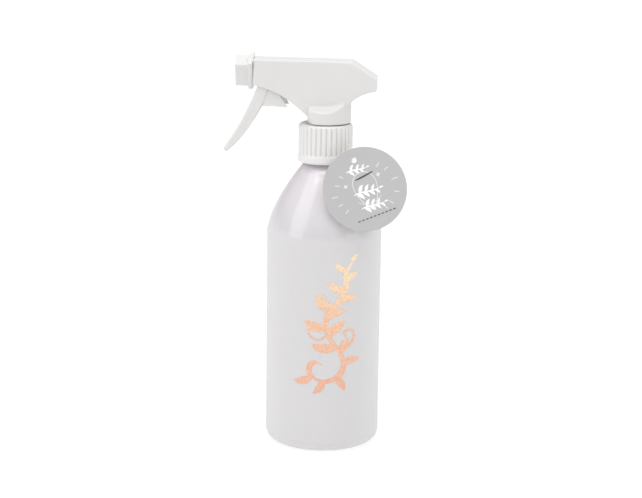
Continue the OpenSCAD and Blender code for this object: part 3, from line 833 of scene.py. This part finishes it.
def joined(strokes):
    """Several (points, faces) as one."""
    points, faces, start = [], [], 0
    for p, f in strokes:
        points.append(p)
        faces.extend([tuple(i + start for i in face) for face in f])
        start += len(p)
    return np.concatenate(points), faces


def tag_place(u, v, height):
    return on_tag(np.stack([u, v, np.full(len(u), TAG_T / 2 + height)], 1))


def tag_stroke(path, width, height=0.05, taper=0.35):
    """A pen stroke on the tag, a little thinner at both ends."""
    path = np.asarray(path, float)
    t = np.linspace(-1, 1, len(path))
    return ribbon(path, width * (1 - taper * t ** 4), tag_place, height)


def straight(a, b, n=8):
    t = np.linspace(0, 1, n)[:, None]
    return np.array(a) * (1 - t) + np.array(b) * t


def droplet(size, at):
    """A drop outline with its point up."""
    t = np.linspace(-math.pi, math.pi, 96)
    u = size * 0.72 * np.sin(t) * np.sin((math.pi - np.abs(t)) / 2) ** 0.9
    v = size * 0.95 * np.cos(t)
    return np.stack([at[0] + u, at[1] + v], 1)


def sparkle(at, size):
    """Two crossed tapering strokes."""
    at = np.array(at, float)
    return [tag_stroke(straight(at - d * size, at + d * size, 12), 0.75, 0.06, 1.0)
            for d in (np.array([1.0, 0.0]), np.array([0.0, 1.0]))]


def sprig(start, end, bow, size, count):
    """A brushed sprig: a bowed stem with leaves on alternate sides, smaller towards the tip."""
    start, end = np.array(start, float), np.array(end, float)
    along = end - start
    out = np.array([-along[1], along[0]]) / np.linalg.norm(along) * bow
    stem = curve(start, start + along * 0.3 + out, start + along * 0.7 - out * 0.6, end, 36)
    lean = math.degrees(math.atan2(along[1], along[0]))
    strokes = [tag_stroke(stem, 0.85, 0.06, 0.7)]
    for i in range(count):
        root = stem[5 + i * 28 // count]
        length = size * (1 - 0.4 * i / count)
        side = 52 if i % 2 else -52
        strokes.append(leaf(root, length, lean + side, length * 0.4, 0.062 + 0.003 * i, tag_place))
    strokes.append(leaf(end, size * 0.5, lean, size * 0.2, 0.1, tag_place))
    return strokes


def make_tag_print():
    """Three leafy sprigs over a pale drop, in a ring of short rays, with a brushed line; no lettering."""
    pale, white, dark = [], [], []
    rays = [
        (62, 14.2, 17.6), (44, 15.6, 18.6), (20, 16.4, 20.6), (-4, 17.0, 20.0), (-26, 15.4, 18.8), (-40, 15.6, 17.6),
        (-146, 15.4, 18.6), (-164, 16.0, 20.0), (-186, 14.4, 17.6), (-128, 15.4, 18.0), (-206, 13.8, 16.8),
    ]
    for angle, near, far in rays:
        a = math.radians(angle) - TAG_ROLL
        d = np.array([math.cos(a), math.sin(a)])
        pale.append(tag_stroke(straight(d * near, d * far), 0.55))
    pale.append(tag_stroke(droplet(12.2, (0.8, -1.6)), 0.45, taper=0))
    pale.append(tag_stroke(curve((-6.6, -6.0), (-3, -9.6), (4, -9.8), (8, -6.2), 24), 0.4))
    white.extend(sprig((-7.0, 12.4), (5.2, 11.6), 1.4, 4.2, 6))
    white.extend(sprig((-7.4, -1.6), (8.0, -2.2), 1.8, 5.4, 7))
    white.extend(sprig((-6.0, -10.4), (8.0, -10.8), 1.6, 5.0, 7))
    for at, size in (((10.2, 5.2), 1.4), ((-10.0, 5.0), 1.3)):
        white.extend(sparkle(at, size))
    dark.append(tag_stroke(curve((-3.6, 6.6), (0, 6.7), (4.5, 7.6), (8.0, 8.0), 20), 0.95, 0.07, 0.75))
    for i in range(10):
        left = -10.4 + i * 2.4
        dark.append(tag_stroke(straight((left, -16.6), (left + 1.5, -16.6), 4), 0.6, 0.05, 0.1))
    prints = {"pale": (pale, FAINT_INK), "white": (white, WHITE_INK), "dark": (dark, DARK_INK)}
    for name, (strokes, material) in prints.items():
        make_piece("tag_print_" + name, *joined(strokes), material, "tag", "tag_print", smooth=30)


# ---- foil vine on the bottle ----------------------------------------------------------------

def foil_place(u, v, height):
    """u runs round the bottle from the middle of its front, v is the height above the base."""
    u, v = (m + (p - m) * grow for p, m, grow in zip((u, v), FOIL_MIDDLE, FOIL_GROWTH))
    a = FOIL_TURN + u / BOTTLE_R
    r = BOTTLE_R + height
    return np.stack([r * np.cos(a), r * np.sin(a), v], 1)


def through(knots):
    """A smooth curve through the points given."""
    k = np.array(knots, float)
    k = np.concatenate([[2 * k[0] - k[1]], k, [2 * k[-1] - k[-2]]])
    t = np.linspace(0, 1, 12, endpoint=False)[:, None]
    out = []
    for a, b, c, d in zip(k, k[1:], k[2:], k[3:]):
        square, cube = 2 * a - 5 * b + 4 * c - d, 3 * b - a - 3 * c + d
        out.append(0.5 * (2 * b + (c - a) * t + square * t ** 2 + cube * t ** 3))
    return np.concatenate([*out, [k[-2]]])


def pen_stroke(path, thin, thick, lift):
    """A broad-pen stroke: thick along one slant, thin across it, closing to a point at the ends."""
    along = np.gradient(path, axis=0)
    slant = np.arctan2(along[:, 1], along[:, 0]) - math.radians(150)
    t = np.linspace(0, 1, len(path))
    close = np.clip(np.minimum(t, 1 - t) / 0.12, 0, 1) ** 0.5
    width = (thin + (thick - thin) * np.abs(np.sin(slant))) * close
    return ribbon(path, np.maximum(width, 0.3), foil_place, lift, 0.06)


def leaf(root, length, angle, width, lift, place=foil_place):
    """A leaf blade with a bent spine, growing from root."""
    a = math.radians(angle)
    d = np.array([math.cos(a), math.sin(a)])
    side = np.array([-d[1], d[0]])
    root = np.array(root, float)
    spine = curve(root, root + d * length * 0.35 + side * length * 0.12,
                  root + d * length * 0.7 + side * length * 0.15, root + d * length, 26)
    t = np.linspace(0, 1, 26)
    return ribbon(spine, np.maximum(width * np.sin(math.pi * t ** 0.8) ** 0.85, 0.3), place, lift, 0.06)


def make_foil():
    """A curling vine that climbs the front of the bottle, in the place of the printed decoration."""
    stem = through([
        (2.6, 55.5), (-1.2, 57.2), (-4.4, 54.6), (-4.0, 50.2), (0.4, 46.6), (6.6, 46.4), (12.0, 50.4), (13.4, 57.0),
        (10.2, 64.4), (5.6, 71.6), (3.6, 79.6), (6.6, 87.4), (11.8, 93.6), (14.2, 100.6), (14.0, 107.4),
        (17.6, 114.4),
    ])
    strokes = [pen_stroke(stem, 1.3, 3.4, 0.05)]
    leaves = [
        ((13.6, 56.0), 9.5, 10, 4.2), ((12.0, 62.0), 9.8, 62, 4.4), ((9.6, 65.6), 13.5, 172, 5.4),
        ((5.4, 72.0), 12.0, 40, 5.2), ((4.2, 76.6), 12.5, 158, 5.2), ((4.2, 82.4), 11.0, 22, 4.6),
        ((7.4, 88.4), 11.5, 142, 4.8), ((10.8, 92.2), 10.0, 6, 4.2), ((13.6, 98.0), 10.5, 150, 4.3),
        ((14.2, 103.2), 8.0, 34, 3.6), ((14.4, 108.8), 8.0, 138, 3.4), ((-3.0, 48.6), 10.5, 196, 4.4),
        ((3.0, 46.2), 9.0, 232, 4.0), ((9.4, 47.8), 9.0, 300, 4.0), ((17.4, 114.0), 5.5, 52, 2.8),
    ]
    for i, (root, length, angle, width) in enumerate(leaves):
        strokes.append(leaf(root, length, angle, width, 0.056 + 0.003 * i))
    tendrils = [
        [(5.0, 73.0), (0.0, 70.0), (-4.6, 72.6), (-5.0, 77.0), (-1.8, 78.8), (0.2, 76.4)],
        [(10.6, 63.8), (16.4, 66.0), (19.4, 71.0), (17.4, 75.4), (13.8, 74.4), (14.4, 71.4)],
        [(6.2, 86.8), (1.0, 88.0), (-1.0, 92.6), (1.8, 95.6), (4.6, 93.6)],
    ]
    for i, knots in enumerate(tendrils):
        strokes.append(pen_stroke(through(knots), 0.7, 1.5, 0.11 + 0.004 * i))
    make_piece("foil_vine", *joined(strokes), FOIL, "bottle", "foil_print", smooth=30)


# ---- wires -------------------------------------------------------------------------------------

def tube(path, radius, closed=False):
    """Points and faces of a round wire along path."""
    sides = 12
    path = np.asarray(path, float)
    n = len(path)
    ahead = np.roll(path, -1, 0) - np.roll(path, 1, 0)
    if not closed:
        ahead[0], ahead[-1] = path[1] - path[0], path[-1] - path[-2]
    ahead /= np.linalg.norm(ahead, axis=1)[:, None]
    side = np.cross(ahead[0], (0.3, 0.5, 0.8))
    frames = []
    for t in ahead:
        side = side - t * (side @ t)
        side = side / np.linalg.norm(side)
        frames.append((side, np.cross(t, side)))
    a, b = (np.array(f) for f in zip(*frames))
    turn = np.arange(sides) * 2 * math.pi / sides
    c, s = radius * np.cos(turn)[None, :, None], radius * np.sin(turn)[None, :, None]
    points = path[:, None] + c * a[:, None] + s * b[:, None]
    faces = []
    # where the frame has turned between the two ends of a closed wire, join nearest corners
    shift = 0
    if closed:
        gaps = [np.linalg.norm(points[-1] - np.roll(points[0], -k, 0)) for k in range(sides)]
        shift = int(np.argmin(gaps))
    for i in range(n if closed else n - 1):
        k = (i + 1) % n
        extra = shift if k == 0 else 0
        for j in range(sides):
            m = (j + 1) % sides
            here, there = i * sides, k * sides
            faces.append((here + j, here + m, there + (m + extra) % sides, there + (j + extra) % sides))
    if not closed:
        faces.append(tuple(reversed(range(sides))))
        faces.append(tuple((n - 1) * sides + j for j in range(sides)))
    return points.reshape(-1, 3), faces


def make_loop():
    """The thin clear loop: a ring round the neck, a stem, and a link through the tag's hole."""
    turn = np.linspace(0, 2 * math.pi, 97)[:-1]
    ring = np.stack([LOOP_R * np.cos(turn), LOOP_R * np.sin(turn), np.full(len(turn), LOOP_Z)], 1)
    axes = tag_frame()
    link_r, pin = 4.1, TAG_HOLE_R - 0.55
    centre = TAG_HOLE + (pin + link_r) * axes[:, 1]
    link = centre + link_r * (np.cos(turn)[:, None] * axes[:, 1] + np.sin(turn)[:, None] * axes[:, 2])
    elbow, elbow_r = np.array([12.2, -13.6, LOOP_Z]), 18.27
    start = elbow * np.array([LOOP_R / elbow_r, LOOP_R / elbow_r, 1])
    stem = np.concatenate([straight(start, elbow, 4)[:-1], straight(elbow, centre - link_r * axes[:, 2], 6)])
    parts = [tube(ring, 0.3, closed=True), tube(stem, 0.28), tube(link, 0.25, closed=True)]
    make_piece("tag_loop_wire", *joined(parts), NYLON, "bottle", "loop_nylon", "tag_loop", smooth=60)


# ---- springs ------------------------------------------------------------------------------------

def spring(name, node, wire_r, turns):
    """A coil spring along X with closed ends, in the space of its CAD node."""
    low, high = box_mm(node)
    mid_z, r = (low[2] + high[2]) / 2, (high[2] - low[2]) / 2 - wire_r
    t = np.linspace(0, 1, 40 * (turns + 2))
    a = 2 * math.pi * (turns + 1) * t
    x = low[0] + wire_r + (high[0] - low[0] - 2 * wire_r) * np.clip((t - 0.1) / 0.8, 0, 1)
    path = np.stack([x, r * np.cos(a), mid_z + r * np.sin(a)], 1)
    obj = make_piece(name, *tube(path, wire_r), STEEL, "head", "spring_steel", node)
    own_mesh(obj)


# ---- CAD nodes that keep their own shape ----------------------------------------------------------

def finish_cad_nodes():
    finishes = {
        "sprayer_body": INNER, "piston": INNER, "tube_retainer": INNER, "bore_plug": INNER, "spinner": INNER,
        "neck_gasket": SOFT, "piston_cup": SOFT, "outlet_valve": SOFT, "dip_tube": TUBE,
        "inlet_ball": STEEL, "nozzle_seal": RUBBER,
    }
    for node, material in finishes.items():
        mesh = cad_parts[node].data
        mesh.materials.clear()
        mesh.materials.append(material)


# ---- stage ------------------------------------------------------------------------------------------

def make_stage():
    """A pale floor that runs on as a white sweep, and even studio light from all round."""
    mat, nodes, links, shader, where = new_material("floor_white")
    cloud = noise(nodes, links, where, 3, 2)
    tint = ramp(nodes, links, cloud, [(0.3, (0.34, 0.34, 0.34)), (0.7, (0.36, 0.36, 0.36))])
    links.new(tint, shader.inputs["Base Color"])
    set_inputs(shader, {"Roughness": 0.9, "Emission Color": (1, 1, 1, 1), "Emission Strength": 0.7})
    size = 6.0
    mesh = bpy.data.meshes.new("floor")
    corners = [(-size, -size, 0), (size, -size, 0), (size, size, 0), (-size, size, 0)]
    mesh.from_pydata(corners, [], [(0, 1, 2, 3)])
    floor = bpy.data.objects.new("floor", mesh)
    mesh.materials.append(mat)
    bpy.context.scene.collection.objects.link(floor)

    world = bpy.data.worlds.new("studio")
    world.use_nodes = True
    nodes, links = world.node_tree.nodes, world.node_tree.links
    where = nodes.new("ShaderNodeTexCoord")
    split = nodes.new("ShaderNodeSeparateXYZ")
    links.new(where.outputs["Generated"], split.inputs["Vector"])
    # as bright as the floor at the horizon, dimmer just above it, brightest overhead
    tone = ramp(nodes, links, split.outputs["Z"], [
        (z, (v, v, v)) for z, v in ((0.0, 1.0), (0.1, 0.72), (0.22, 0.45), (0.5, 0.75), (1.0, 1.2))
    ])
    links.new(tone, nodes["Background"].inputs["Color"])
    bpy.context.scene.world = world


def soft_light(name, at, aim, size, power):
    data = bpy.data.lights.new(name, "AREA")
    data.shape = "RECTANGLE"
    data.size, data.size_y = size
    data.energy = power
    lamp = bpy.data.objects.new(name, data)
    lamp.location = at
    lamp.rotation_mode = "QUATERNION"
    lamp.rotation_quaternion = (Vector(aim) - Vector(at)).to_track_quat("-Z", "Y")
    bpy.context.scene.collection.objects.link(lamp)


def make_lights():
    soft_light("top_box", (0, -0.15, 1.25), (0, 0, 0.15), (1.1, 0.9), 4.9)
    soft_light("left_box", (-0.97, -0.654, 0.815), (0, 0, 0.14), (0.8, 1.5), 3.6)
    soft_light("right_box", (0.99, -0.48, 0.6), (0, 0, 0.14), (0.6, 1.0), 1.1)


make_stage()
make_lights()
make_bottle()
make_closure()
make_shroud()
make_trigger()
make_nozzle()
make_tag()
make_tag_print()
make_foil()
make_loop()
spring("return_coil", "return_spring", 0.35, 4)
spring("outlet_coil", "outlet_spring", 0.25, 4)
finish_cad_nodes()

bpy.context.scene.view_settings.view_transform = "Standard"
